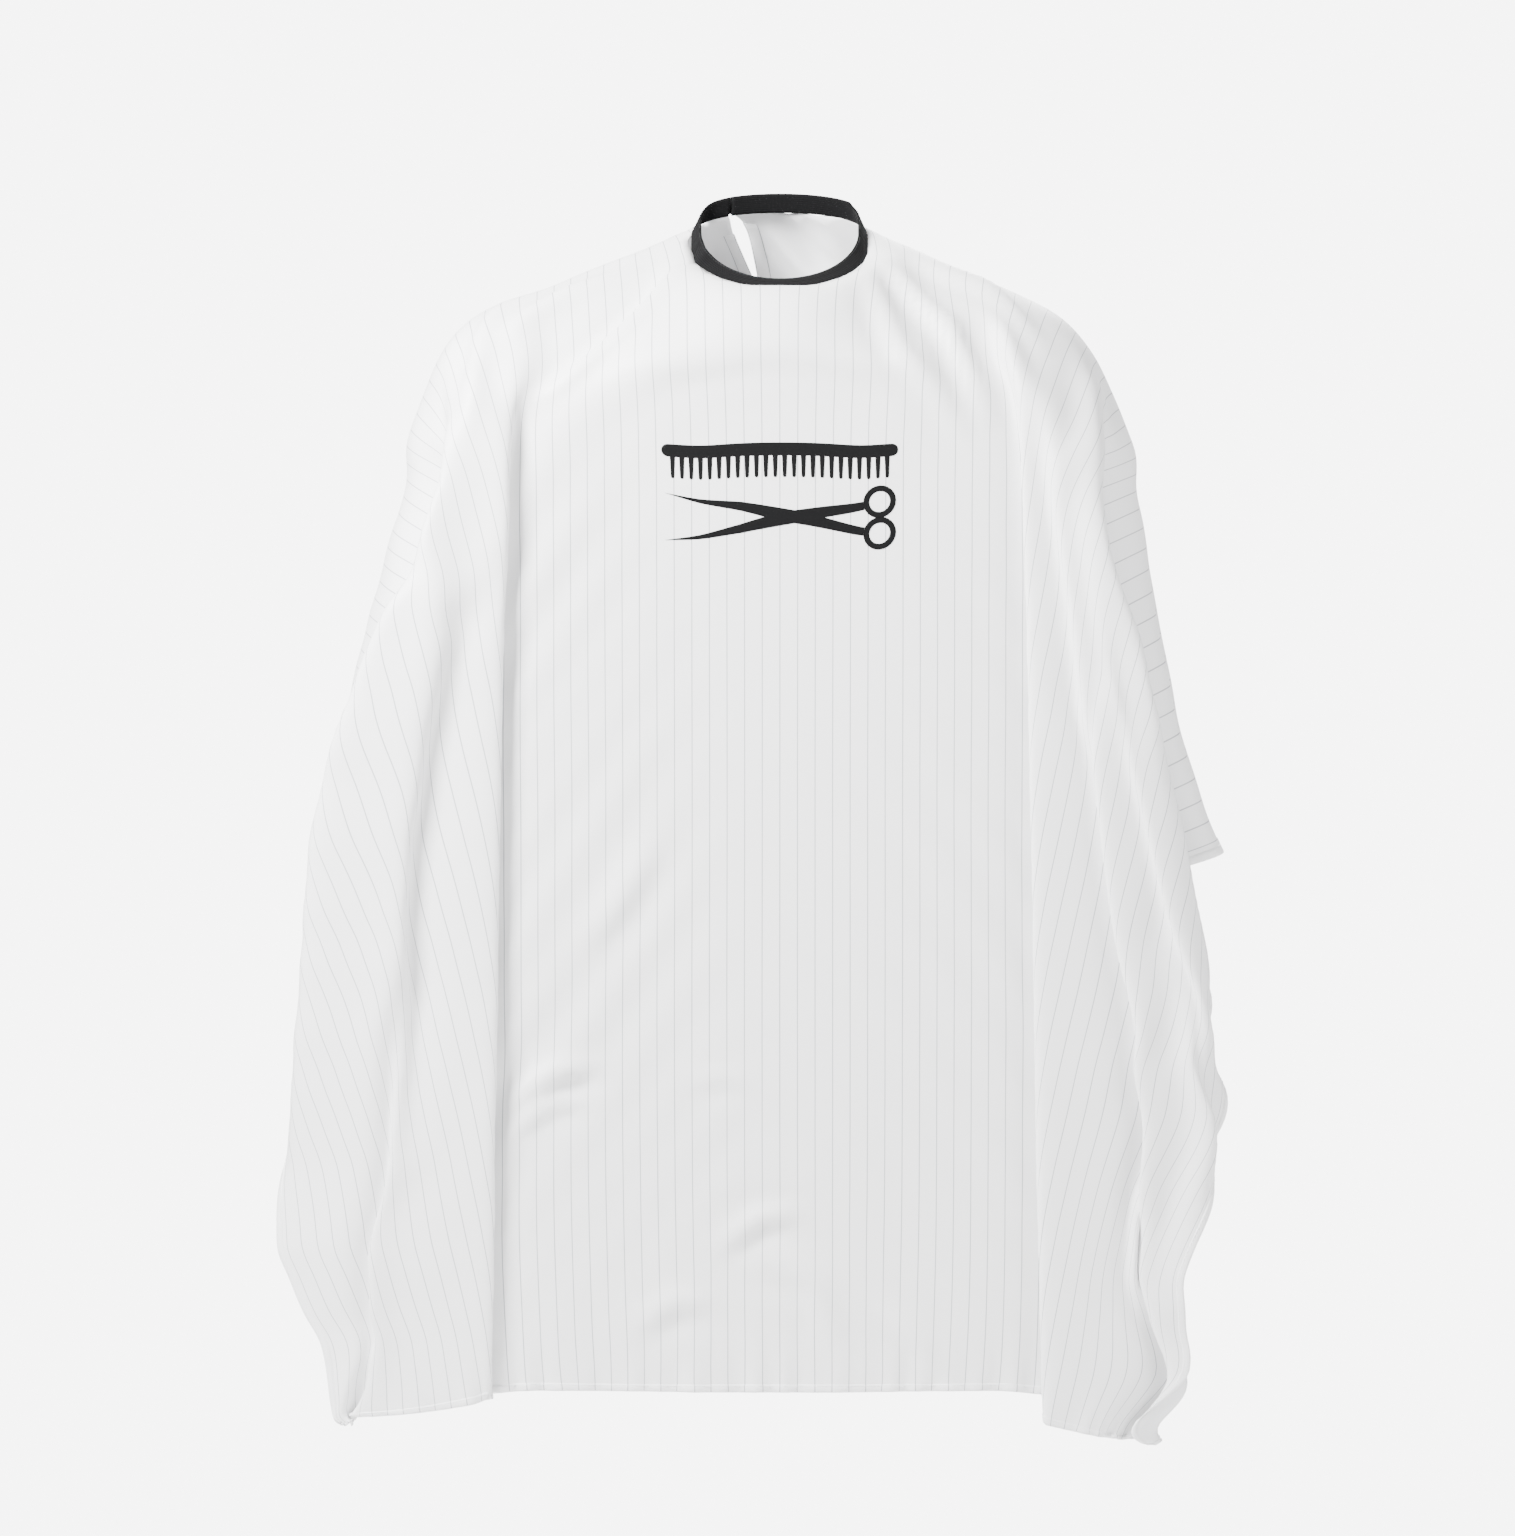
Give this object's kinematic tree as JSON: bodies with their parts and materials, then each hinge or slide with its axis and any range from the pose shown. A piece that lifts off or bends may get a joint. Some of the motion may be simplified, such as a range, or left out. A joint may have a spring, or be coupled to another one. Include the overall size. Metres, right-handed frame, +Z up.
{
  "type": "barber cape",
  "caption": "Pinstriped cloth barber cape hung from the neck as worn, with a black neck band, knife pleats, slit back and a hook-and-loop strap.",
  "frame": {"origin": "centre of the neck ring, where the wearer's neck holds the cape", "axes": "+Z up, the front of the cape faces -Y, +X is the wearer's left and the viewer's right from the front"},
  "size_m": [0.9626, 0.2994, 1.2489],
  "materials": {
    "cape_cloth": "smooth white polyester satin with fine light-grey pinstripes",
    "hem_cloth": "the same cloth, turned twice and lockstitched",
    "band_knit": "black ribbed binding tape, matt",
    "hook_and_loop": "black hook tape and loop tape",
    "label_tape": "blank white woven label",
    "print_ink": "black screen-print ink, slightly raised"
  },
  "bodies": {
    "cape": {"chest_yoke": "cape_cloth", "front_panel": "cape_cloth", "side_panel_left": "cape_cloth", "side_panel_right": "cape_cloth", "shoulder_panel_left": "cape_cloth", "shoulder_panel_right": "cape_cloth", "back_panel_left": "cape_cloth", "back_panel_right": "cape_cloth", "front_hem": "hem_cloth", "side_panel_hem_left": "hem_cloth", "side_panel_hem_right": "hem_cloth", "side_hem_left": "hem_cloth", "side_hem_right": "hem_cloth", "arm_hem_left": "hem_cloth", "arm_hem_right": "hem_cloth", "back_hem_left": "hem_cloth", "back_hem_right": "hem_cloth", "slit_facing_left": "hem_cloth", "slit_facing_right": "hem_cloth", "neck_band": "band_knit", "strap_tack": "band_knit", "loop_tape": "hook_and_loop", "care_label": "label_tape", "emblem_comb": "print_ink", "emblem_scissors": "print_ink"},
    "strap": {"closure_strap": "band_knit", "hook_tape": "hook_and_loop"}
  },
  "joints": [
    {"name": "strap_peel", "type": "hinge", "parent": "cape", "child": "strap", "pos_m": [-0.05054, 0.04883, 0.04055], "axis": [0.0977, -0.2067, 0.9735], "range_deg": [0, 150]}
  ]
}
